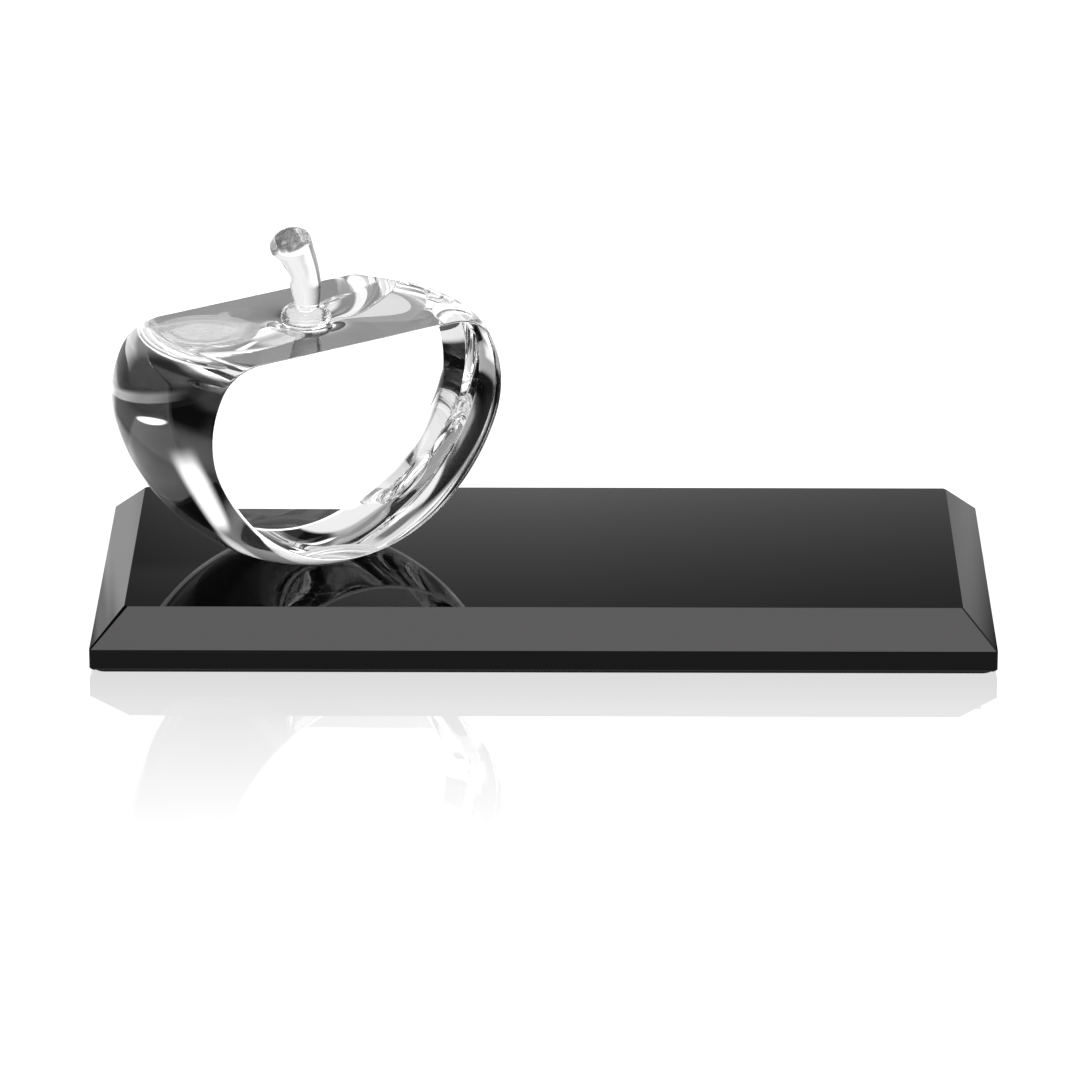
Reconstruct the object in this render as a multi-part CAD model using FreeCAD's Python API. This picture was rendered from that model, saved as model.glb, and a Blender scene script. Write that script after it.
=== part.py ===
import FreeCAD, Part
import math
import os

# A clear glass apple, cut flat on its front and its back, that stands to the left on a bevelled slab of black glass.
# Millimetres. The origin is the middle of the underside, +X runs along the slab to the right, +Z is up,
# and the long front edge of the slab faces -Y.

# The slab
slab_length = 250.0
slab_depth = 116.0
slab_thickness = 15.4
side_height = 6.1            # the upright side, from the underside of the glass to the foot of the bevel
bevel_inset = 9.3            # how far the bevel comes in from the side to the top
lower_arris = 0.6            # the small flat ground along the lower edges
corner_arris = 0.5           # how far each upright corner is cut back
mitre_cuts = (1.0, 0.45, 0.7, 0.6)     # how far each bevel corner is cut back at the top: left front, then round

# The sheet under the slab
felt_thickness = 0.8
felt_inset = 1.3             # how far its edge lies inside the slab's side
felt_corner_radius = 3.0

# The apple: a turned shape about an upright axis, cut by two upright parallel planes.
# Its wall is three arcs that run smoothly into each other: lower wall, belly and shoulder.
apple_x = -66.5
apple_y = -1.0
apple_turn = 36.0            # degrees that the cut front face turns to the right
apple_height = 67.6
apple_radius = 54.9
apple_thickness = 52.4       # between the two cut faces
belly_share = 0.698          # how far up the apple is widest, as a share of its height
foot_radius = 15.0
wall_round = 60.0            # radius of the lower wall's arc
belly_round = 31.5           # radius of the belly's arc
shoulder_round = 11.7        # radius of the arc from the belly to the flat crown
dimple_radius = 24.0
dimple_depth = 1.4
seat_radius = 6.6            # the level bottom of the dimple

# The clear films that hold the foot on the slab and the collar in the dimple
bond_thickness = 0.15
bond_margin = 0.6            # how far a film stays inside the faces that it joins

# The collar: a squashed bit of glass under the stem
collar_height = 5.0
collar_radius = 7.1
collar_foot_radius = 5.9
collar_belly_height = 1.9
collar_top_radius = 4.1
collar_shoulder_share = 0.72     # how far up from the belly to the top the collar is half way in

# The stem: round sections along a line that bends to the left, cut off by a sloping plane
stem_foot_radius = 3.4
stem_tip_radius = 6.1
stem_offset = 0.4            # the stem's foot stands this far to the right of the axis
stem_rise = 19.7             # from the stem's foot to the middle of its cut end
stem_lean = 4.9              # how far the middle of the cut end lies to the left of the foot
tip_slope_left = 14.5        # degrees that the cut end falls to the left
tip_slope_front = 21.7       # degrees that it falls to the front
section_up_shares = (0.0, 0.25, 0.45, 0.65, 0.82, 1.0, 1.25)
section_lean_shares = (0.0, 0.05, 0.19, 0.47, 0.76, 1.0, 1.28)
section_swell_shares = (0.0, 0.30, 0.47, 0.70, 0.90, 1.0, 0.97)

# One overrun for every cut, so that no cut ends on a face
overrun = 20.0

# Where the apple is widest, above its foot
belly_height = belly_share * apple_height

# Levels above the table
slab_bottom = felt_thickness
slab_top = slab_bottom + slab_thickness
apple_bottom = slab_top + bond_thickness
crown_top = apple_bottom + apple_height
seat_level = crown_top - dimple_depth
collar_bottom = seat_level + bond_thickness
stem_bottom = collar_bottom + collar_height


def polygon_face(points):
    """A flat face inside a closed run of straight edges."""
    return Part.Face(Part.makePolygon(points + points[:1]))


def stacked_solid(rings):
    """A solid with flat faces between level rings that have equally many points, closed at the bottom and the top."""
    faces = [polygon_face(rings[0]), polygon_face(rings[-1])]
    for lower, upper in zip(rings, rings[1:]):
        for i in range(len(lower)):
            j = (i + 1) % len(lower)
            faces.append(polygon_face([lower[i], lower[j], upper[j], upper[i]]))
    return Part.Solid(Part.makeShell(faces))


def cut_corner_ring(half_length, half_depth, cuts, level):
    """A level rectangle whose four corners are cut back, from the left front corner round by the right."""
    signs = ((-1, -1), (1, -1), (1, 1), (-1, 1))
    points = []
    for (sx, sy), cut in zip(signs, cuts):
        on_side = FreeCAD.Vector(sx * half_length, sy * (half_depth - cut), level)
        on_front = FreeCAD.Vector(sx * (half_length - cut), sy * half_depth, level)
        points += [on_side, on_front] if sx == sy else [on_front, on_side]
    return points


def make_base_slab():
    """The black glass slab: lower arris, upright side, bevel, and a narrow flat on each bevel corner."""
    half_length = slab_length / 2
    half_depth = slab_depth / 2
    corner_cuts = (corner_arris,) * len(mitre_cuts)
    rings = [
        cut_corner_ring(half_length - lower_arris, half_depth - lower_arris, corner_cuts, slab_bottom),
        cut_corner_ring(half_length, half_depth, corner_cuts, slab_bottom + lower_arris),
        cut_corner_ring(half_length, half_depth, corner_cuts, slab_bottom + side_height),
        cut_corner_ring(half_length - bevel_inset, half_depth - bevel_inset, mitre_cuts, slab_top),
    ]
    return stacked_solid(rings)


def make_base_felt():
    """The thin sheet under the slab, with rounded corners."""
    length = slab_length - 2 * felt_inset
    depth = slab_depth - 2 * felt_inset
    sheet = Part.makeBox(length, depth, felt_thickness, FreeCAD.Vector(-length / 2, -depth / 2, 0))
    upright = [edge for edge in sheet.Edges if abs(edge.tangentAt(edge.FirstParameter).z) > 0.5]
    return sheet.makeFillet(felt_corner_radius, upright)


def turned(edges):
    """The solid that a closed outline in the XZ plane leaves when it turns about Z."""
    outline = Part.Face(Part.Wire(Part.__sortEdges__(edges)))
    return outline.revolve(FreeCAD.Vector(0, 0, 0), FreeCAD.Vector(0, 0, 1), 360)


def line(start, end):
    """A straight edge."""
    return Part.LineSegment(start, end).toShape()


def smooth(points, first_tangent, last_tangent):
    """A smooth edge through points, with the given directions at its ends."""
    curve = Part.BSplineCurve()
    curve.interpolate(Points=points, InitialTangent=first_tangent, FinalTangent=last_tangent)
    return curve.toShape()


def on_circle(centre, radius, angle):
    """A point of a circle in the XZ plane, at an angle in radians from +X."""
    return centre + FreeCAD.Vector(radius * math.cos(angle), 0, radius * math.sin(angle))


def arc(centre, radius, start, end):
    """An arc of a circle in the XZ plane between two angles."""
    middle = (start + end) / 2
    return Part.Arc(*(on_circle(centre, radius, angle) for angle in (start, middle, end))).toShape()


def apple_outline():
    """Half the section of the turned apple: foot, three arcs of wall, flat crown and dimple, round to the axis."""
    origin = FreeCAD.Vector(0, 0, 0)
    foot_edge = FreeCAD.Vector(foot_radius, 0, 0)
    belly_centre = FreeCAD.Vector(apple_radius - belly_round, 0, belly_height)

    # The lower wall's circle runs on smoothly from the belly's and passes through the foot's edge.
    growth = wall_round - belly_round
    to_foot = foot_edge - belly_centre
    share = (wall_round ** 2 - growth ** 2 - to_foot.Length ** 2) / (2 * growth * to_foot.Length)
    wall_start = math.atan2(to_foot.z, to_foot.x) + math.acos(share)
    wall_centre = on_circle(belly_centre, growth, wall_start + math.pi)
    from_foot = foot_edge - wall_centre
    foot_angle = math.atan2(from_foot.z, from_foot.x)

    # The shoulder's circle runs on smoothly from the belly's and ends level with the crown.
    shrink = belly_round - shoulder_round
    shoulder_start = math.asin((apple_height - belly_height - shoulder_round) / shrink)
    shoulder_centre = on_circle(belly_centre, shrink, shoulder_start)
    crown_edge = on_circle(shoulder_centre, shoulder_round, math.pi / 2)

    dimple_edge = FreeCAD.Vector(dimple_radius, 0, apple_height)
    seat_edge = FreeCAD.Vector(seat_radius, 0, apple_height - dimple_depth)
    seat_middle = FreeCAD.Vector(0, 0, apple_height - dimple_depth)
    inward = FreeCAD.Vector(-1, 0, 0)
    return [
        line(origin, foot_edge),
        arc(wall_centre, wall_round, foot_angle, wall_start),
        arc(belly_centre, belly_round, wall_start, shoulder_start),
        arc(shoulder_centre, shoulder_round, shoulder_start, math.pi / 2),
        line(crown_edge, dimple_edge),
        smooth([dimple_edge, (dimple_edge + seat_edge) / 2, seat_edge], inward, inward),
        line(seat_edge, seat_middle),
        line(seat_middle, origin),
    ]


def make_apple_body():
    """The turned apple between its two cut faces, turned to face the right and set on the slab's film."""
    reach = apple_radius + overrun
    between = Part.makeBox(
        2 * reach, apple_thickness, apple_height + 2 * overrun,
        FreeCAD.Vector(-reach, -apple_thickness / 2, -overrun))
    body = turned(apple_outline()).common(between)
    body.rotate(FreeCAD.Vector(0, 0, 0), FreeCAD.Vector(0, 0, 1), apple_turn)
    body.translate(FreeCAD.Vector(apple_x, apple_y, apple_bottom))
    return body


def bond_film(radius, level):
    """A thin level disc on the apple's axis."""
    return Part.makeCylinder(radius, bond_thickness, FreeCAD.Vector(apple_x, apple_y, level))


def make_foot_bond():
    """The clear film between the slab and the apple's foot."""
    return bond_film(foot_radius - bond_margin, slab_top)


def make_collar_bond():
    """The clear film between the bottom of the dimple and the collar."""
    return bond_film(collar_foot_radius - bond_margin, seat_level)


def make_stem_collar():
    """The squashed bit of glass: a level foot, a rounded belly, and a level top that carries the stem."""
    foot_edge = FreeCAD.Vector(collar_foot_radius, 0, 0)
    belly = FreeCAD.Vector(collar_radius, 0, collar_belly_height)
    shoulder_level = collar_belly_height + collar_shoulder_share * (collar_height - collar_belly_height)
    shoulder = FreeCAD.Vector((collar_radius + collar_top_radius) / 2, 0, shoulder_level)
    top_edge = FreeCAD.Vector(collar_top_radius, 0, collar_height)
    origin = FreeCAD.Vector(0, 0, 0)
    top_middle = FreeCAD.Vector(0, 0, collar_height)
    upward = FreeCAD.Vector(0, 0, 1)
    outward = FreeCAD.Vector(1, 0, 0)
    collar = turned([
        line(origin, foot_edge),
        smooth([foot_edge, belly], outward + upward, upward),
        smooth([belly, shoulder, top_edge], upward, upward - outward / 2),
        line(top_edge, top_middle),
        line(top_middle, origin),
    ])
    collar.translate(FreeCAD.Vector(apple_x, apple_y, collar_bottom))
    return collar


def stem_line_point(up, lean):
    """A point of the stem's middle line, from its shares of the rise and of the lean."""
    return FreeCAD.Vector(apple_x + stem_offset - lean * stem_lean, apple_y, stem_bottom + up * stem_rise)


def stem_sections():
    """Round sections square to the stem's middle line. The lowest stands level on the collar."""
    points = [stem_line_point(up, lean) for up, lean in zip(section_up_shares, section_lean_shares)]
    last = len(points) - 1
    sections = []
    for i, point in enumerate(points):
        along = points[min(i + 1, last)] - points[i - 1] if i else FreeCAD.Vector(0, 0, 1)
        radius = stem_foot_radius + section_swell_shares[i] * (stem_tip_radius - stem_foot_radius)
        circle = Part.Circle(point, along, radius)
        sections.append(Part.Wire([circle.toShape()]))
    return sections


def make_stem():
    """The bent stem, cut off by the sloping plane of its sheared end."""
    blank = Part.makeLoft(stem_sections(), True, False)
    tip_middle = stem_line_point(1.0, 1.0)
    width = 2 * (stem_tip_radius + overrun)
    waste = Part.makeBox(width, width, stem_rise + overrun, FreeCAD.Vector(-width / 2, -width / 2, 0))
    waste.rotate(FreeCAD.Vector(0, 0, 0), FreeCAD.Vector(1, 0, 0), tip_slope_front)
    waste.rotate(FreeCAD.Vector(0, 0, 0), FreeCAD.Vector(0, 1, 0), -tip_slope_left)
    waste.translate(tip_middle)
    return blank.cut(waste)


makers = {
    "base_slab": make_base_slab,
    "base_felt": make_base_felt,
    "apple_body": make_apple_body,
    "foot_bond": make_foot_bond,
    "collar_bond": make_collar_bond,
    "stem_collar": make_stem_collar,
    "stem": make_stem,
}

os.makedirs("parts", exist_ok=True)
for node, make in makers.items():
    shape = make()
    if not shape.isValid() or len(shape.Solids) != 1:
        raise ValueError(node + " isn't one valid solid")
    shape.Solids[0].exportStep("parts/" + node + ".step")
    box = shape.BoundBox
    print(node, "volume %.1f" % shape.Volume, "x %.1f %.1f" % (box.XMin, box.XMax),
          "y %.1f %.1f" % (box.YMin, box.YMax), "z %.1f %.1f" % (box.ZMin, box.ZMax))
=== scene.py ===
import math

import bmesh
import bpy
import numpy as np
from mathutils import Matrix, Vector


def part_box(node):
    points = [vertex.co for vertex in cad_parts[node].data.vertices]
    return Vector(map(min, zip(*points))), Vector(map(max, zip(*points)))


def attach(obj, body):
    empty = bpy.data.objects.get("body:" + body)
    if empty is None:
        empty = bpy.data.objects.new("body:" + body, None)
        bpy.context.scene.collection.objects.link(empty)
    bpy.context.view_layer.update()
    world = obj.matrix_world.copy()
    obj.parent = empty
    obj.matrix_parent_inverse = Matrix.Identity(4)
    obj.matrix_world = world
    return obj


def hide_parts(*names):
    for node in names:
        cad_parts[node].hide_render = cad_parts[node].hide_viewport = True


# A clear glass apple on a bevelled slab of black glass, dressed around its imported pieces.
# Named sizes are in millimetres unless a comment says otherwise, and MM turns them into metres.
# The slab's long front edge faces -Y, and +Z is up.

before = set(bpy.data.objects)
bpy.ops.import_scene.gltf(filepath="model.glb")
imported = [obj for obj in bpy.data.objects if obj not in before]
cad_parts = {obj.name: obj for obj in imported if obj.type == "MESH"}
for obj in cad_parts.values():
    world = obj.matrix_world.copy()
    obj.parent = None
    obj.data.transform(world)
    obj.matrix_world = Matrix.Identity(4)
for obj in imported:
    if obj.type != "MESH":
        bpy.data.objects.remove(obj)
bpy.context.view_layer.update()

MM = 0.001

# The camera, as the photograph was taken
photo_width = 1080.0         # pixels
camera_focal = 6791.0        # pixels
camera_sensor = 36.0         # the sensor's width
camera_distance = 1917.5
camera_pitch = 20.24         # degrees below level
camera_yaw = -0.33           # degrees to the right
camera_aim = (-1.25, 0.0, 18.0)

# The apple, as its solid is made but for the dimple's slope: a turned shape cut by two upright planes
apple_turn = 36.0            # degrees that the cut front face turns to the right
foot_radius = 15.0
wall_round = 60.0
belly_round = 31.5
shoulder_round = 11.7
belly_level_share = 0.698    # how far up the apple is widest, as a share of its height
apple_radius = 54.9
apple_thickness = 52.4
dimple_radius = 24.0
dimple_depth = 1.4
seat_radius = 6.6            # the level floor of the dimple, under the collar
dimple_power = 6             # the higher it is, the nearer to the collar the crown dips

# The apple's finer surface
face_arris = 0.45            # the small rounding around each cut face
arris_steps = 5
wall_columns = 96            # faces across the wall, between the two cut faces
wall_rows = 200              # faces up the wall, from the foot's side to the crown
arc_points = 800             # points along each arc of the outline, before the rows are spaced out
crown_points = 200           # and along the level crown
foot_rings = (0, 4, 8, 11, 13.5, 14.6, 14.9)     # radii on the level foot, inside its edge
foot_slope_rings = 23        # rings from the foot's edge up to the wall's first row
dimple_rings = 60
seat_rings = (4.5, 2.5, 0)   # radii on the level seat

# The clear films
film_gap = 0.02              # the air between a film and the glass it lies on, too thin to see
film_edge_width = 0.05       # the small slope round a film's edge
film_edge_height = 0.03

# The collar
collar_foot_radius = 5.9
collar_radius = 7.1
collar_belly_height = 1.9
collar_top_radius = 4.1
collar_grooves = (1.95, 3.0)     # levels of two fine lines left by the tool
groove_depth = 0.015
groove_width = 0.14
collar_rows = 200
round_columns = 96           # faces round the collar and round the films

# The stem, as its solid is made
stem_foot_radius = 3.4
stem_tip_radius = 6.1
stem_offset = 0.4
stem_rise = 19.7
stem_lean = 4.9
tip_slope_left = 14.5        # degrees
tip_slope_front = 21.7       # degrees
# At even stations up the stem: how far its middle line has risen and leaned, and its radius swelled
stem_up_shares = (0.0, 0.25, 0.45, 0.65, 0.82, 1.0, 1.25)
stem_lean_shares = (0.0, 0.05, 0.19, 0.47, 0.76, 1.0, 1.28)
stem_swell_shares = (0.0, 0.30, 0.47, 0.70, 0.90, 1.0, 0.97)

# The stem's finer surface
tip_rounding = 2.3           # the melted edge round the sheared end
melt_overlap = 0.05          # how far the stem's foot dips into the collar
stem_mark_height = 3.7       # fine upright marks reach this far up from the stem's foot
stem_columns = 128           # faces round the stem
stem_rows = 120              # faces up it
rim_rows = 14                # over the melted edge
tip_rows = 60                # from there to the middle of the sheared face

# The surfaces. A size is how large a pattern's clouds are, and a stretch under 1 draws them out that way.
glass_index = 1.52
line_size = 1.5              # fine lines in the polish
line_stretch = (1.0, 1.0, 0.15)
line_share = 0.02            # their depth as a share of the waves' depth
mark_size = 0.7              # the upright marks at the stem's foot
mark_stretch = (1.0, 1.0, 0.03)
mark_share = 1.5
clear_smear_size = 16.6667   # faint smears on all clear glass
clear_smear_colour = (0.985, 0.99, 0.99)
soft_roughness = 0.05        # the stem's surface
sheared_roughness = 0.3      # what its dull end adds
sheared_edge = (-1.2, -0.3)  # the dull end sets in between these distances past the sheared plane
bond_index = 1.49
flow_size = 4.0              # the flow marks of the set film
flow_depth = 0.004
slab_index = 1.5
slab_black = (0.0012, 0.0012, 0.0012)
slab_smear_colour = (0.0022, 0.0021, 0.002)
slab_smear_size = 40.0
slab_mirror_tint = (1.0, 0.97, 0.97, 1.0)
slab_matt_share = 0.5        # matt black mixed in, which weakens the slab's mirror gloss
felt_black = (0.004, 0.004, 0.004)
felt_dust = (0.03, 0.03, 0.032)
fibre_size = 0.6
fibre_stretch = (1.0, 2.5, 1.0)
fibre_depth = 0.2

# The stage
studio_black = 0.004         # the light of the studio's darkest parts
panel_edge = (42.0, 48.0)    # degrees up, between the studio's walls and its overhead panel
floor_light = 0.72           # the floor right beside the slab, as the camera sees it: its glow greyed there as painted shade of the slab
floor_shade_depth = 0.3       # what its light gains away from the slab, out of the painted shade
floor_fade = (2.0, 117.0)    # between these distances from the slab
floor_gloss = (0.3, 0.3, 0.3, 1.0)
floor_black = 0.01           # the darkest parts of the floor that glass sees
floor_half_size = 12.0       # metres
card_light = 1.2             # at the card's level
card_level = 143.0
card_falls = (37.0, 350.0, 70.0)     # it falls to 0.37 over these lengths: up, to the right, to the left
card_left = -75.0            # where the fall to the left begins
card_place = (0.15, 0.4, 0.134, 0.192)   # half width, distance back, lowest, highest level, in metres


def box_middle(node):
    """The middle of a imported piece's box, in millimetres."""
    low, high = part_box(node)
    return np.array((low + high) / 2) / MM


def box_levels(node):
    """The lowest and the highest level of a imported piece, in millimetres."""
    low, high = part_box(node)
    return low.z / MM, high.z / MM


apple_axis = box_middle("foot_bond")[:2]
apple_bottom, apple_top = box_levels("apple_body")
collar_bottom, collar_top = box_levels("stem_collar")
apple_height = apple_top - apple_bottom
slab_size = 2 * (np.array(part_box("base_slab")[1]) / MM - box_middle("base_slab"))


# Meshes from grids of points

def grid_faces(shape, first):
    """The corner numbers of a grid's four-sided faces, with its points numbered row by row from first."""
    rows, columns = shape
    numbers = first + np.arange(rows * columns).reshape(rows, columns)
    corners = (numbers[:-1, :-1], numbers[:-1, 1:], numbers[1:, 1:], numbers[1:, :-1])
    return np.stack(corners, axis=-1).reshape(-1, 4).tolist()


def weld(mesh):
    """Joins points that fall on each other, clears faces left with no width, and turns all faces outwards."""
    work = bmesh.new()
    work.from_mesh(mesh)
    bmesh.ops.remove_doubles(work, verts=work.verts, dist=1e-4 * MM)
    bmesh.ops.dissolve_degenerate(work, edges=work.edges, dist=1e-5 * MM)
    bmesh.ops.recalc_face_normals(work, faces=work.faces)
    for face in work.faces:
        face.smooth = len(face.verts) <= 4
    work.to_mesh(mesh)
    work.free()


def add_piece(name, grids, outlines, material, node):
    """A closed piece from grids of points and flat many-sided faces, in millimetres. It stands for a node."""
    faces = []
    first = 0
    for grid in grids:
        faces += grid_faces(grid.shape[:2], first)
        first += grid.shape[0] * grid.shape[1]
    for outline in outlines:
        faces.append(list(range(first, first + len(outline))))
        first += len(outline)
    points = np.concatenate([part.reshape(-1, 3) for part in list(grids) + list(outlines)])
    mesh = bpy.data.meshes.new(name)
    mesh.from_pydata(points * MM, [], faces)
    weld(mesh)
    mesh.materials.append(material)
    piece = bpy.data.objects.new(name, mesh)
    bpy.context.scene.collection.objects.link(piece)
    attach(piece, "root")
    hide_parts(node)


def turned_about_z(points, degrees):
    """Points turned about the Z axis."""
    angle = math.radians(degrees)
    turn = np.array([[math.cos(angle), -math.sin(angle), 0],
                     [math.sin(angle), math.cos(angle), 0],
                     [0, 0, 1]])
    return points @ turn.T


def on_apple_axis(points, level):
    """Points moved from the origin onto the apple's upright axis, up by a level."""
    return points + np.array([*apple_axis, level])


def ring_grid(radii, levels, columns):
    """A turned surface: each row of the grid is a level circle, from -90 degrees round to 270."""
    angles = np.linspace(-math.pi / 2, 3 * math.pi / 2, columns + 1)
    radii = np.asarray(radii)[:, None]
    levels = np.asarray(levels)[:, None] + 0 * angles
    return np.stack([radii * np.cos(angles), radii * np.sin(angles), levels], axis=-1)


# The apple

def arc_run(centre, radius, start, end):
    """Points of an arc as columns of radius and height, at even angles between start and end."""
    angles = np.linspace(start, end, arc_points)
    return np.stack([centre[0] + radius * np.cos(angles), centre[1] + radius * np.sin(angles)], axis=1)


def wall_profile():
    """Half the apple's outline from the foot's edge to the edge of the flat crown.

    Three arcs run smoothly into each other: the lower wall, the belly and the shoulder. The lower wall's
    circle touches the belly's from outside and passes through the foot's edge, so its centre lies on the
    line through the belly's centre at the angle that the cosine rule gives.
    """
    belly_centre = np.array([apple_radius - belly_round, belly_level_share * apple_height])
    to_foot = np.array([foot_radius, 0.0]) - belly_centre
    growth = wall_round - belly_round
    reach = math.hypot(*to_foot)
    cosine = (wall_round ** 2 - growth ** 2 - reach ** 2) / (2 * growth * reach)
    wall_start = math.atan2(to_foot[1], to_foot[0]) + math.acos(cosine)
    wall_centre = belly_centre - growth * np.array([math.cos(wall_start), math.sin(wall_start)])
    foot_angle = math.atan2(-wall_centre[1], foot_radius - wall_centre[0])
    shrink = belly_round - shoulder_round
    shoulder_start = math.asin((apple_height - belly_centre[1] - shoulder_round) / shrink)
    shoulder_centre = belly_centre + shrink * np.array([math.cos(shoulder_start), math.sin(shoulder_start)])
    return np.concatenate([
        arc_run(wall_centre, wall_round, foot_angle, wall_start),
        arc_run(belly_centre, belly_round, wall_start, shoulder_start)[1:],
        arc_run(shoulder_centre, shoulder_round, shoulder_start, math.pi / 2)[1:],
    ])


def dimple_level(radius):
    """The crown's height at a radius: flat, then ever steeper down to the level seat.

    The level is height - depth * s ** power, with s the share of the way in from the rim to the seat.
    """
    share = np.clip((dimple_radius - radius) / (dimple_radius - seat_radius), 0, 1)
    return apple_height - dimple_depth * share ** dimple_power


def apple_grids():
    """The apple's surface about its own axis: two cap discs, two wall patches, and the arris round each face.

    A wall point has profile radius r and height z. It turns by an angle of at most asin(h / r), which is
    where it meets the plane at half the thickness, h. Rows lie close together where r nears h.
    """
    half = apple_thickness / 2 - face_arris
    profile = wall_profile()
    crown_radii = np.linspace(profile[-1, 0], half, crown_points)[1:]
    crown = np.stack([crown_radii, np.full_like(crown_radii, apple_height)], axis=1)
    run = np.concatenate([profile, crown])
    lengths = np.concatenate([[0], np.cumsum(np.hypot(*np.diff(run, axis=0).T))])
    lower_wall = slice(0, arc_points // 2)
    start = np.interp(half, profile[lower_wall, 0], lengths[lower_wall])
    swing = (1 - np.cos(np.linspace(0, math.pi, wall_rows + 1))) / 2
    stops = start + (lengths[-1] - start) * swing
    radius = np.interp(stops, lengths, run[:, 0])
    height = np.interp(stops, lengths, run[:, 1])
    radius[0] = radius[-1] = half
    slopes = np.gradient(run, lengths, axis=0)
    out_level = np.interp(stops, lengths, slopes[:, 1])
    out_up = -np.interp(stops, lengths, slopes[:, 0])
    size = np.hypot(out_level, out_up)
    out_level, out_up = out_level / size, out_up / size

    spread = np.arcsin(np.clip(half / radius, 0, 1))[:, None] * np.linspace(-1, 1, wall_columns + 1)
    grids = []
    rims = {}
    for side in (1, -1):
        east = side * np.cos(spread)
        north = side * np.sin(spread)
        tall = height[:, None] + 0 * spread
        wall = np.stack([radius[:, None] * east, radius[:, None] * north, tall], axis=-1)
        grids.append(wall)
        for column in (0, -1):
            edge = wall[:, column]
            out = np.stack([out_level * east[:, column], out_level * north[:, column], out_up], axis=1)
            face = 1.0 if edge[0, 1] > 0 else -1.0
            strip = arris_strip(edge, out, face)
            grids.append(strip)
            rims[face, side] = strip[:, -1]
    outlines = [np.concatenate([rims[face, 1], rims[face, -1][-2:0:-1]]) for face in (1.0, -1.0)]

    wall_radius = np.interp(stops[0], lengths, run[:, 0])
    side_start = foot_radius + 0.05
    slope = np.linspace(0, 1, foot_slope_rings + 1) ** 1.3
    side_radii = side_start + (wall_radius - side_start) * slope
    side_levels = np.interp(side_radii, profile[lower_wall, 0], profile[lower_wall, 1])
    side_radii[-1] = half
    side_levels[-1] = height[0]
    foot = [*foot_rings, foot_radius]
    grids.append(ring_grid(np.concatenate([foot, side_radii]),
                           np.concatenate([np.zeros(len(foot)), side_levels]), 2 * wall_columns))
    top = np.concatenate([[half, (half + dimple_radius) / 2],
                          np.linspace(dimple_radius, seat_radius, dimple_rings), seat_rings])
    grids.append(ring_grid(top, dimple_level(top), 2 * wall_columns))
    return grids, outlines


def arris_strip(edge, out, face):
    """A small rounding from the wall's edge to the cut face, as a curve with its middle at the sharp corner.

    The corner is reached from the edge along the wall, and the far end lies in the face, as far inwards.
    """
    across = np.array([0.0, face, 0.0])
    lean = out @ across
    along = across - lean[:, None] * out
    corner = edge + along * (face_arris / (1 - lean ** 2))[:, None]
    inward = out * np.array([1.0, 0.0, 1.0])
    inward = inward / np.linalg.norm(inward, axis=1)[:, None]
    far = corner - face_arris * inward
    far[:, 1] = face * apple_thickness / 2
    share = np.linspace(0, 1, arris_steps + 1)[None, :, None]
    return ((1 - share) ** 2 * edge[:, None] + 2 * share * (1 - share) * corner[:, None]
            + share ** 2 * far[:, None])


def add_apple(material):
    """The apple's finer surface in the place of its solid."""
    grids, outlines = apple_grids()
    grids = [on_apple_axis(turned_about_z(grid, apple_turn), apple_bottom) for grid in grids]
    outlines = [on_apple_axis(turned_about_z(line, apple_turn), apple_bottom) for line in outlines]
    add_piece("apple_glass", grids, outlines, material, "apple_body")


# The collar and the stem

def add_collar(material):
    """A squashed bit of glass, turned: level foot, tight round belly, a soft shoulder and a level top."""
    height = collar_top - collar_bottom
    turn = np.linspace(-math.pi / 2, math.pi / 2, collar_rows)
    low = turn < 0
    swell = np.where(low, collar_radius - collar_foot_radius, collar_radius - collar_top_radius)
    start = np.where(low, collar_foot_radius, collar_top_radius)
    radii = start + swell * np.cos(turn) ** np.where(low, 1.0, 0.8)
    rise = np.where(low, collar_belly_height, height - collar_belly_height)
    levels = collar_belly_height + rise * np.sin(turn)
    for groove in collar_grooves:
        radii = radii - groove_depth * np.exp(-((levels - groove) / groove_width) ** 2)
    radii = np.concatenate([[0, collar_foot_radius / 2], radii, [collar_top_radius / 2, 0]])
    levels = np.concatenate([[0, 0], levels, [height, height]])
    grid = on_apple_axis(ring_grid(radii, levels, round_columns), collar_bottom)
    add_piece("collar_glass", [grid], [], material, "stem_collar")


def smooth_through(stations, values, at):
    """A smooth curve through values at stations, worked out by a cubic between each pair of stations."""
    stations = np.asarray(stations, float)
    values = np.asarray(values, float)
    slopes = np.gradient(values, stations)
    left = np.clip(np.searchsorted(stations, at, side="right") - 1, 0, len(stations) - 2)
    gap = stations[left + 1] - stations[left]
    share = (at - stations[left]) / gap
    rest = 1 - share
    return (values[left] * (1 + 2 * share) * rest ** 2 + slopes[left] * gap * share * rest ** 2
            + values[left + 1] * (3 - 2 * share) * share ** 2 - slopes[left + 1] * gap * rest * share ** 2)


def stem_point_grid(stations, angles):
    """Round sections square to the stem's bent middle line at each station, but level at its foot."""
    shares = np.linspace(0, 1, len(stem_up_shares))
    east = -stem_lean * smooth_through(shares, stem_lean_shares, stations)
    up = stem_rise * smooth_through(shares, stem_up_shares, stations)
    size = stem_foot_radius + (stem_tip_radius - stem_foot_radius) * smooth_through(
        shares, stem_swell_shares, stations)
    step = 1e-4
    ahead_east = -stem_lean * smooth_through(shares, stem_lean_shares, stations + step) - east
    ahead_up = stem_rise * smooth_through(shares, stem_up_shares, stations + step) - up
    lean = np.arctan2(ahead_east, ahead_up) * np.clip(stations * 8, 0, 1)
    side = size * np.cos(angles)
    return np.stack([stem_offset + east + side * np.cos(lean), size * np.sin(angles),
                     up - side * np.sin(lean)], axis=-1)


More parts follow.
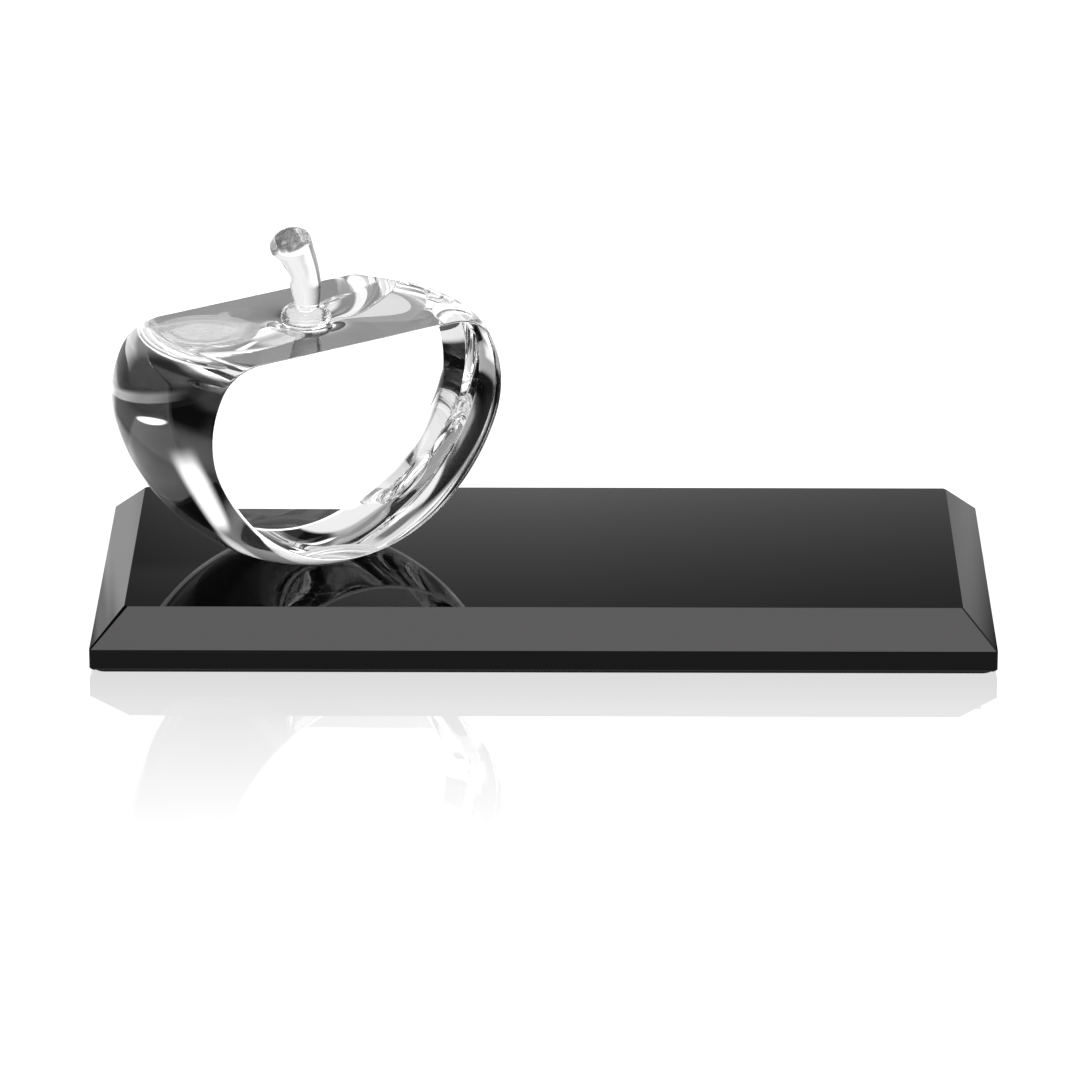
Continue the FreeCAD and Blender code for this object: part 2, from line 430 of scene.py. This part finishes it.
def sheared_plane():
    """The middle of the stem's sheared end, above the stem's foot, and the direction that it faces."""
    left, front = math.radians(tip_slope_left), math.radians(tip_slope_front)
    normal = np.array([-math.sin(left) * math.cos(front), -math.sin(front), math.cos(left) * math.cos(front)])
    return np.array([stem_offset - stem_lean, 0.0, stem_rise]), normal


def stem_grid():
    """The stem from its foot to the sloping plane that shears it, with a melted rim and a marked face.

    Each line up the stem ends where it meets the plane. The rim is a curve with its middle at that corner,
    and the face runs level from there to the middle, but for the relief that the shears left.
    """
    angles = np.linspace(0, 2 * math.pi, stem_columns + 1)
    angles[-1] = angles[0]
    trial = np.linspace(0.3, 0.99, 400)     # the plane meets every line in this run of it
    lines = stem_point_grid(trial[:, None] + 0 * angles, angles[None, :] + 0 * trial[:, None])
    middle, normal = sheared_plane()
    above = (lines - middle) @ normal
    cut = np.array([np.interp(0, above[:, i], trial) for i in range(above.shape[1])])

    shares = np.linspace(0, 1, stem_rows + 1)[:, None]
    stop = cut - tip_rounding / stem_rise * 0.8
    body = stem_point_grid(shares * stop, angles[None, :] + 0 * shares)
    edge = body[-1]
    corner = stem_point_grid(cut[None, :], angles[None, :])[0]
    inward = middle - corner
    reach = np.linalg.norm(inward, axis=1)[:, None]
    far = corner + inward / reach * tip_rounding
    share = np.linspace(0, 1, rim_rows + 1)[1:, None, None]
    rim = (1 - share) ** 2 * edge + 2 * share * (1 - share) * corner + share ** 2 * far
    share = np.linspace(0, 1, tip_rows + 1)[1:, None, None]
    face = far + (middle - far) * share
    rightward = np.cross([0.0, 1.0, 0.0], normal)
    rightward /= np.linalg.norm(rightward)
    backward = np.cross(normal, rightward)
    p = (face - middle) @ rightward / stem_tip_radius
    q = (face - middle) @ backward / stem_tip_radius
    inner = share[..., 0] ** 2 * (3 - 2 * share[..., 0])
    face = face + (inner * shear_relief(p, q))[..., None] * normal
    return np.concatenate([body, rim, face])


def shear_relief(p, q):
    """How far the sheared face stands up, from places on it in radii: p to the right, q to the back.

    A low dome, a dent in front on the left, a sharp fold across the right, and small ripples between them.
    """
    dome = 0.30
    dent = -0.55 * np.exp(-((p + 0.43) / 0.24) ** 2 - ((q + 0.37) / 0.13) ** 2)
    across_fold = (p - 0.20) * 0.967 + (q - 0.93) * 0.254
    fold = 0.22 * np.exp(-(across_fold / 0.05) ** 2) * np.clip((q + 0.25) * 4, 0, 1)
    ripples = 0.07 * (np.sin(11 * p + 5 * q) * np.sin(13 * q - 4 * p) + 0.6 * np.sin(23 * p - 9 * q + 1.0))
    return dome + dent + fold + ripples * np.exp(-((p + 0.15) / 0.45) ** 2)


def add_stem(material):
    """The stem's finer surface. Its foot dips a hair into the collar, because the two are melted together."""
    grid = stem_grid()
    grid[0, :, 2] -= melt_overlap
    foot = np.stack([grid[0] * np.array([share, share, 1.0]) + np.array([stem_offset * (1 - share), 0, 0])
                     for share in (0.0, 0.5, 1.0)])
    grids = [on_apple_axis(part, collar_top) for part in (foot, grid)]
    add_piece("stem_glass", grids, [], material, "stem")


def add_film(name, node, material):
    """A clear film: a level disc a hair thinner than its solid, so that a film of air lies on each side."""
    low_corner, high_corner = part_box(node)
    radius = (high_corner.x - low_corner.x) / MM / 2 - film_gap
    low, high = low_corner.z / MM + film_gap, high_corner.z / MM - film_gap
    flat = radius - film_edge_width
    radii = [0, radius / 2, flat, radius, radius, flat, radius / 2, 0]
    levels = [low, low, low, low + film_edge_height, high - film_edge_height, high, high, high]
    grid = on_apple_axis(ring_grid(radii, levels, round_columns), 0.0)
    add_piece(name, [grid], [], material, node)


# Materials

DEGREES = 180 / math.pi
WHITE = (1.0, 1.0, 1.0)
FIRST_COLOUR, SECOND_COLOUR, MIXED_COLOUR = 6, 7, 2   # the places of a Mix node's colour sockets


class Value:
    """A number that comes out of a shader node. Sums and products of values add their Math nodes."""

    def __init__(self, graph, socket):
        self.graph = graph
        self.socket = socket

    def math(self, operation, *others):
        return self.graph.node("ShaderNodeMath", {"operation": operation}, [self, *others])

    def __add__(self, other):
        return self.math("ADD", other)

    def __sub__(self, other):
        return self.math("SUBTRACT", other)

    def __mul__(self, other):
        return self.math("MULTIPLY", other)

    def __truediv__(self, other):
        return self.math("DIVIDE", other)

    def __rsub__(self, other):
        return self.graph.node("ShaderNodeMath", {"operation": "SUBTRACT"}, [other, self])

    def __pow__(self, other):
        return self.math("POWER", other)

    __radd__ = __add__
    __rmul__ = __mul__

    def size(self):
        """The value without its sign."""
        return self.math("ABSOLUTE")

    def heading(self, north):
        """The direction of a point to the east by this value and to the north, in degrees to the right."""
        return self.math("ARCTAN2", north) * DEGREES


class Graph:
    """The nodes of one material or world."""

    def __init__(self, tree):
        self.tree = tree
        tree.nodes.clear()

    def node(self, kind, settings=None, inputs=(), output=0):
        """Adds a node: its settings first, then its sockets by place or by name. Gives one of its outputs."""
        made = self.tree.nodes.new(kind)
        for name, value in (settings or {}).items():
            setattr(made, name, value)
        pairs = inputs.items() if isinstance(inputs, dict) else enumerate(inputs)
        for key, value in pairs:
            if isinstance(value, Value):
                self.tree.links.new(value.socket, made.inputs[key])
            else:
                made.inputs[key].default_value = value
        return Value(self, made.outputs[output]) if len(made.outputs) else None

    def parts(self, vector):
        """The three numbers of a vector."""
        made = self.tree.nodes.new("ShaderNodeSeparateXYZ")
        self.tree.links.new(vector.socket, made.inputs[0])
        return [Value(self, part) for part in made.outputs]

    def ramp(self, value, low, high, soft="SMOOTHSTEP"):
        """0 where the value is under low, 1 where it is over high, smooth between."""
        return self.node("ShaderNodeMapRange", {"interpolation_type": soft}, {0: value, 1: low, 2: high})

    def between(self, value, low, high, soft):
        """1 between low and high, 0 outside, with a soft step at each end."""
        return self.ramp(value, low - soft, low + soft) * (1 - self.ramp(value, high - soft, high + soft))

    def spot(self, across, along, inner, outer):
        """1 round the middle of an ellipse, 0 outside. Inner and outer are squares of the way out."""
        return 1 - self.ramp(across * across + along * along, inner, outer)

    def place(self, scale=(1.0, 1.0, 1.0)):
        """The surface's own coordinates in metres, stretched by a scale."""
        where = self.node("ShaderNodeTexCoord", output="Object")
        return self.node("ShaderNodeMapping", {}, {"Vector": where, "Scale": scale})

    def noise(self, size, detail, stretch=(1.0, 1.0, 1.0), roughness=0.5):
        """Random clouds of a size in millimetres, from 0 to 1."""
        return self.node("ShaderNodeTexNoise", {}, {"Vector": self.place(stretch), "Scale": 1 / (size * MM),
                                                    "Detail": detail, "Roughness": roughness})

    def mix(self, share, first, second):
        """A colour between two, by a share from 0 to 1."""
        sockets = {"Factor": share, FIRST_COLOUR: (*first, 1.0), SECOND_COLOUR: (*second, 1.0)}
        return self.node("ShaderNodeMix", {"data_type": "RGBA"}, sockets, output=MIXED_COLOUR)

    def bump(self, height, depth, strength=1.0):
        """A relief, with its depth in millimetres."""
        sockets = {"Strength": strength, "Distance": depth * MM, "Height": height}
        return self.node("ShaderNodeBump", {}, sockets)

    def principled(self, colour, roughness, **others):
        """The usual surface shader. A name's underscores stand for the spaces of its socket's name."""
        sockets = {name.replace("_", " "): value for name, value in others.items()}
        sockets.update({"Base Color": colour, "Roughness": roughness})
        return self.node("ShaderNodeBsdfPrincipled", {}, sockets)

    def glow(self, strength):
        """White light that a surface gives off."""
        return self.node("ShaderNodeEmission", {}, {"Color": (*WHITE, 1.0), "Strength": strength})

    def show(self, shader, kind="ShaderNodeOutputMaterial"):
        """Makes a shader the one that shows."""
        self.node(kind, {}, {"Surface": shader})


def new_material(name):
    """An empty material and its nodes."""
    material = bpy.data.materials.new(name)
    material.use_nodes = True
    return material, Graph(material.node_tree)


def clear_glass(name, wave_depth, wave_size, ground_zone=None, sheared_end=None):
    """Polished clear glass: very slight waves left by the polishing wheel, and nothing in its depth.

    Between the two levels of the ground zone, fine upright marks run round the piece. Past the plane of the
    sheared end, given by a point and a direction, the surface is dull, and elsewhere it is a little soft.
    """
    material, graph = new_material(name)
    waves = graph.noise(wave_size, 1.0)
    lines = graph.noise(line_size, 2.0, line_stretch)
    relief = waves + lines * line_share
    roughness = 0.0
    if ground_zone:
        east, north, level = (part / MM for part in graph.parts(graph.place()))
        point, ahead = sheared_end
        past = (east - point[0]) * ahead[0] + (north - point[1]) * ahead[1] + (level - point[2]) * ahead[2]
        roughness = graph.ramp(past, *sheared_edge) * sheared_roughness + soft_roughness
        marks = graph.noise(mark_size, 1.0, mark_stretch)
        relief = relief + marks * graph.between(level, *ground_zone, 0.1) * mark_share
    smears = graph.ramp(graph.noise(clear_smear_size, 3.0), 0.5, 0.8)
    tint = graph.mix(smears, WHITE, clear_smear_colour)
    graph.show(graph.principled(tint, roughness, IOR=glass_index, Transmission_Weight=1.0,
                                Normal=graph.bump(relief, wave_depth)))
    return material


def black_glass():
    """Black glass, polished, with faint smears that dull its gloss here and there."""
    material, graph = new_material("black glass")
    smears = graph.ramp(graph.noise(slab_smear_size, 4.0), 0.45, 0.75)
    colour = graph.mix(smears, slab_black, slab_smear_colour)
    polished = graph.principled(colour, smears * 0.02 + 0.015, IOR=slab_index, Specular_Tint=slab_mirror_tint)
    matt = graph.node("ShaderNodeBsdfDiffuse", {}, {"Color": (*slab_black, 1.0), "Roughness": 1.0})
    graph.show(graph.node("ShaderNodeMixShader", {}, [slab_matt_share, polished, matt]))
    return material


def black_felt():
    """Short black felt: matted fibres in the relief and a dusty grey in the colour."""
    material, graph = new_material("black felt")
    fibres = graph.noise(fibre_size, 4.0, fibre_stretch, roughness=0.7)
    colour = graph.mix(fibres, felt_black, felt_dust)
    graph.show(graph.principled(colour, 0.95, Sheen_Weight=0.3, Sheen_Roughness=0.5,
                                Normal=graph.bump(fibres, fibre_depth, 0.8)))
    return material


def clear_bond():
    """The clear set film that holds glass to glass, with small flow marks."""
    material, graph = new_material("clear bond")
    flow = graph.noise(flow_size, 2.0)
    graph.show(graph.principled((*WHITE, 1.0), 0.0, IOR=bond_index, Transmission_Weight=1.0,
                                Normal=graph.bump(flow, flow_depth)))
    return material


# The studio's light, as a function of direction. Around is in degrees to the right of straight back,
# so -90 is left and 180 is the camera's side, and rise is in degrees up. All ranges are in degrees.

def white_sweep(graph, around, rise):
    """White behind, from left of the view round to the right, brightest low down.

    It gets dimmer in two steps upwards, and close to the floor it is dim to the right of straight back.
    """
    sweep = graph.ramp(around, -54.0, -36.0) * (1 - graph.ramp(around, 60.0, 88.0))
    sweep = sweep * (2.9 - graph.ramp(rise, 12.0, 18.0) * 1.55 - graph.ramp(rise, 23.0, 35.0) * 0.58)
    low_right = graph.ramp(around, -5.0, 15.0) * (1 - graph.ramp(rise, 4.0, 9.0))
    return sweep * (1 - low_right * 0.72)


def camera_side(graph, around, rise, east):
    """Grey round the camera: with a dimmer band on the right, black low down on the left, and a light patch.

    The patch is just left of the camera, and shows in the apple's foot.
    """
    side = graph.ramp(around, 119.0, 130.0) + 1 - graph.ramp(around, -122.0, -108.0)
    to_right = graph.ramp(east, -0.3, 0.3)
    grey_right = to_right * (0.5 - graph.between(rise, 26.0, 38.0, 3.0) * 0.2)
    grey_left = (1 - to_right) * graph.ramp(rise, 8.0, 17.0) * 0.8
    off_camera = 180.0 - around.size() * (1 - to_right)
    patch = (1 - graph.ramp(off_camera, 20.0, 28.0)) * graph.between(rise, 18.0, 38.0, 4.0) * 0.6
    return side * (grey_right + grey_left) + patch


def side_panels(graph, around, rise):
    """A dim panel on the left, and one on the right with a slanting edge, lighter along it and higher up."""
    left = graph.between(around, -118.0, -90.0, 6.0) * graph.between(rise, 17.0, 33.0, 3.0) * 0.3
    edge = around - 95.5 + rise * 0.6
    right = graph.ramp(edge, -0.7, 0.7) * (1 - graph.ramp(around, 108.0, 119.0))
    right = right * (1 - graph.ramp(rise + graph.ramp(around, 104.0, 116.0) * 8.0, 23.5, 25.0))
    right = right * graph.ramp(rise - graph.ramp(around, 100.0, 116.0) * 5.0, 0.5, 2.5)
    grey = 0.20 - graph.ramp(edge, 0.0, 14.0) * 0.13 + graph.ramp(rise - edge, 6.0, 20.0) * 0.12
    return left + right * grey * (0.5 + graph.ramp(rise, 6.0, 14.0) * 0.5)


def lamps(graph, around, rise):
    """A bent upright streak and a small flat ellipse on the right, and a hot spot high over the camera."""
    off_streak = around - 104.0 - rise * 0.35 - rise * rise * 0.0075
    streak = (1 - graph.ramp(off_streak.size(), 1.2, 4.4)) * graph.between(rise, 11.5, 33.0, 3.5)
    off_ellipse = around - 99.5
    ellipse = graph.spot(off_ellipse / 5.0, (rise - 2.4 - off_ellipse * 0.09) / 0.9, 0.5, 1.1)
    hot = graph.spot((around.size() - 180.0) / 24.0, (rise - 70.0) / 8.0, 0.2, 1.0)
    return streak * 1.6 + ellipse * 1.4 + hot * 4.5


def overhead_panel(graph, around, rise):
    """The panel overhead: lighter to the sides and on the camera's side, with a dark gap at the back left."""
    panel = graph.ramp(rise, *panel_edge) * (0.65 + graph.ramp(around.size(), 40.0, 80.0) * 0.3)
    gap = graph.between(around, -60.0, -26.0, 5.0) * (1 - graph.ramp(rise, 62.0, 70.0))
    return panel * (1 - gap * 0.8)


def add_studio():
    """Soft light from all round: white behind, dark at the sides but for panels and lamps, grey in front."""
    world = bpy.data.worlds.new("studio")
    world.use_nodes = True
    bpy.context.scene.world = world
    graph = Graph(world.node_tree)
    east, north, up = graph.parts(graph.node("ShaderNodeTexCoord", output="Generated"))
    around = east.heading(north)
    rise = up.math("ARCSINE") * DEGREES
    walls = white_sweep(graph, around, rise) + camera_side(graph, around, rise, east)
    walls = walls + side_panels(graph, around, rise)
    light = walls * (1 - graph.ramp(rise, *panel_edge))
    light = light + lamps(graph, around, rise) + overhead_panel(graph, around, rise) + studio_black
    background = graph.node("ShaderNodeBackground", {}, {"Color": (*WHITE, 1.0), "Strength": light})
    graph.show(background, "ShaderNodeOutputWorld")


# The floor and the card. Their lengths are in millimetres east and north of the slab's middle, and around
# and reach are the direction, in degrees to the right of straight back, and the distance from the apple.

# What glass and the slab see of the floor is a glow of painted light and shade, not a lit floor.
def floor_behind(graph, east, north, around, reach):
    """The light floor behind, with a left edge that grows softer far off, and a painted patch of light at the
    slab's left.
    """
    far = graph.ramp(reach, 240.0, 450.0)
    further = graph.ramp(reach, 330.0, 450.0)
    left_dark = far * -14.0 - 48.0
    left_light = further * 50.0 - far * 14.0 - 36.0
    behind = graph.ramp(around, left_dark, left_light) * (1 - graph.ramp(around, 40.0, 85.0))
    behind = behind * graph.ramp(north, 50.0, 60.0)
    behind = behind * (1.3 - graph.ramp(reach, 230.0, 420.0) * 0.38)
    # Painted light: a patch of glow on the floor at the slab's left.
    patch = graph.between(east, -200.0, -150.0, 12.0) * graph.between(north, 58.0, 120.0, 15.0)
    return behind + patch * 0.6


def floor_near(graph, east, north, around, reach):
    """The grey floor round the slab: lighter in front, dark on the right and in the slab's shade.

    A strip right before the slab is as light as the front.
    """
    close = (1 - graph.ramp(reach, 230.0, 420.0)) * 0.35
    front = (1 - graph.ramp(north, -90.0, -62.0)) * (1 - graph.ramp(reach, 230.0, 480.0)) * 0.5
    not_right = 1 - graph.between(around, 50.0, 150.0, 14.0)
    shade = graph.between(east, -140.0, 140.0, 8.0) * graph.between(north, -54.0, 60.0, 7.0) * 0.6
    strip = graph.between(east, -150.0, 150.0, 20.0) * graph.between(north, -130.0, -54.0, 6.0) * 0.5
    return ((close + front) * not_right * (1 - shade)).math("MAXIMUM", strip)


def floor_for_glass(graph, east, north):
    """The floor that glass and the slab see: light behind, fairly light in front, dark at the sides.

    A far band of painted light on the right shows as a line across the apple's left wall, and a strip behind
    the slab is dimmed as painted shade of the slab.
    """
    away_east = east - float(apple_axis[0])
    away_north = north - float(apple_axis[1])
    reach = (away_east * away_east + away_north * away_north) ** 0.5
    around = away_east.heading(away_north)
    lit = floor_behind(graph, east, north, around, reach) + floor_near(graph, east, north, around, reach)
    # Painted shade: the slab's shadow on the floor just behind it.
    painted_shade_strip = graph.between(east, -125.0, 125.0, 10.0) * graph.between(north, 50.0, 92.0, 6.0)
    # Painted light: a far band of glow on the floor to the right.
    band = graph.between(around, 70.0, 102.0, 6.0) * graph.between(reach, 480.0, 1150.0, 90.0)
    band = band * (0.5 - graph.ramp(around, 86.0, 95.0) * 0.25)
    return lit * (1 - painted_shade_strip * 0.65) + band + floor_black


def add_stage(name, corners, material):
    """A flat sheet of the stage, from its four corners in metres."""
    mesh = bpy.data.meshes.new(name)
    mesh.from_pydata(corners, [], [(0, 1, 2, 3)])
    mesh.materials.append(material)
    sheet = bpy.data.objects.new(name, mesh)
    bpy.context.scene.collection.objects.link(sheet)
    return sheet


def add_floor():
    """A white floor for the camera, faintly glossy, its glow a little grey round the slab as painted shade of
    the slab.

    Glass and the slab see the other light of it.
    """
    material, graph = new_material("floor")
    east, north = (part / MM for part in graph.parts(graph.node("ShaderNodeNewGeometry"))[:2])
    off_side = east.size() - slab_size[0] / 2
    off_front = north.size() - slab_size[1] / 2
    # Painted shade: the floor's glow is greyer close to the slab, as if the slab shaded it.
    away = graph.ramp(off_side.math("MAXIMUM", off_front), *floor_fade, "LINEAR")
    plain = graph.glow(away * floor_shade_depth + floor_light)
    gloss = graph.node("ShaderNodeBsdfGlossy", {}, {"Color": floor_gloss, "Roughness": 0.0})
    seen = graph.node("ShaderNodeAddShader", {}, [plain, gloss])
    seen_by_glass = graph.glow(floor_for_glass(graph, east, north))
    by_camera = graph.node("ShaderNodeLightPath", output="Is Camera Ray")
    graph.show(graph.node("ShaderNodeMixShader", {}, [by_camera, seen_by_glass, seen]))
    size = floor_half_size
    add_stage("floor", [(-size, -size, 0), (size, -size, 0), (size, size, 0), (-size, size, 0)], material)


def add_card():
    """A grey card behind, out of the picture, that the slab's level top mirrors.

    Its light is a power of e that falls off upwards, to the right of the slab's middle, and to the left of
    the apple, where it falls off less in the card's upper part.
    """
    material, graph = new_material("card")
    east, up = (part / MM for part in graph.parts(graph.node("ShaderNodeNewGeometry"))[::2])
    up_fall, right_fall, left_fall = card_falls
    power = (up - card_level) * (-1 / up_fall) - east.math("MAXIMUM", 0.0) / right_fall
    past_left = (east - card_left).math("MINIMUM", 0.0) / left_fall
    power = power + past_left * (1 - graph.ramp(up, 169.0, 175.0) * 0.5)
    graph.show(graph.glow(power.math("EXPONENT") * card_light))
    wide, back, low, high = card_place
    corners = [(-wide, back, low), (wide, back, low), (wide, back, high), (-wide, back, high)]
    add_stage("card", corners, material).visible_camera = False


def add_camera():
    """The camera at the photograph's angle and distance."""
    pitch, yaw = math.radians(camera_pitch), math.radians(camera_yaw)
    ahead = Vector((math.sin(yaw) * math.cos(pitch), math.cos(yaw) * math.cos(pitch), -math.sin(pitch)))
    data = bpy.data.cameras.new("camera")
    data.sensor_width = camera_sensor
    data.lens = camera_sensor * camera_focal / photo_width
    data.clip_start = 0.01
    data.clip_end = 100.0
    camera = bpy.data.objects.new("camera", data)
    camera.location = (Vector(camera_aim) - camera_distance * ahead) * MM
    camera.rotation_euler = ahead.to_track_quat("-Z", "Y").to_euler()
    bpy.context.scene.collection.objects.link(camera)
    bpy.context.scene.camera = camera


def set_light_paths():
    """Enough bounces for light to cross the glass many times, and plain colours with no film look."""
    scene = bpy.context.scene
    scene.cycles.max_bounces = 48
    scene.cycles.transmission_bounces = 48
    scene.cycles.glossy_bounces = 32
    scene.cycles.blur_glossy = 0.0
    scene.cycles.sample_clamp_indirect = 6.0
    scene.view_settings.view_transform = "Standard"


add_camera()
add_studio()
add_floor()
add_card()
set_light_paths()

polished = clear_glass("polished glass", wave_depth=0.01, wave_size=30.0)
hot_worked = clear_glass("hot-worked glass", wave_depth=0.02, wave_size=3.0)
tip_middle, tip_normal = sheared_plane()
tip_middle = on_apple_axis(tip_middle, collar_top)
welded = clear_glass("hot-worked glass of the stem", wave_depth=0.02, wave_size=3.0,
                     ground_zone=(collar_top, collar_top + stem_mark_height),
                     sheared_end=(tip_middle.tolist(), tip_normal.tolist()))
bond = clear_bond()
add_apple(polished)
add_collar(hot_worked)
add_stem(welded)
add_film("foot_film", "foot_bond", bond)
add_film("collar_film", "collar_bond", bond)
for node, material in (("base_slab", black_glass()), ("base_felt", black_felt())):
    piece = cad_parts[node]
    for slot in piece.material_slots:
        slot.material = material
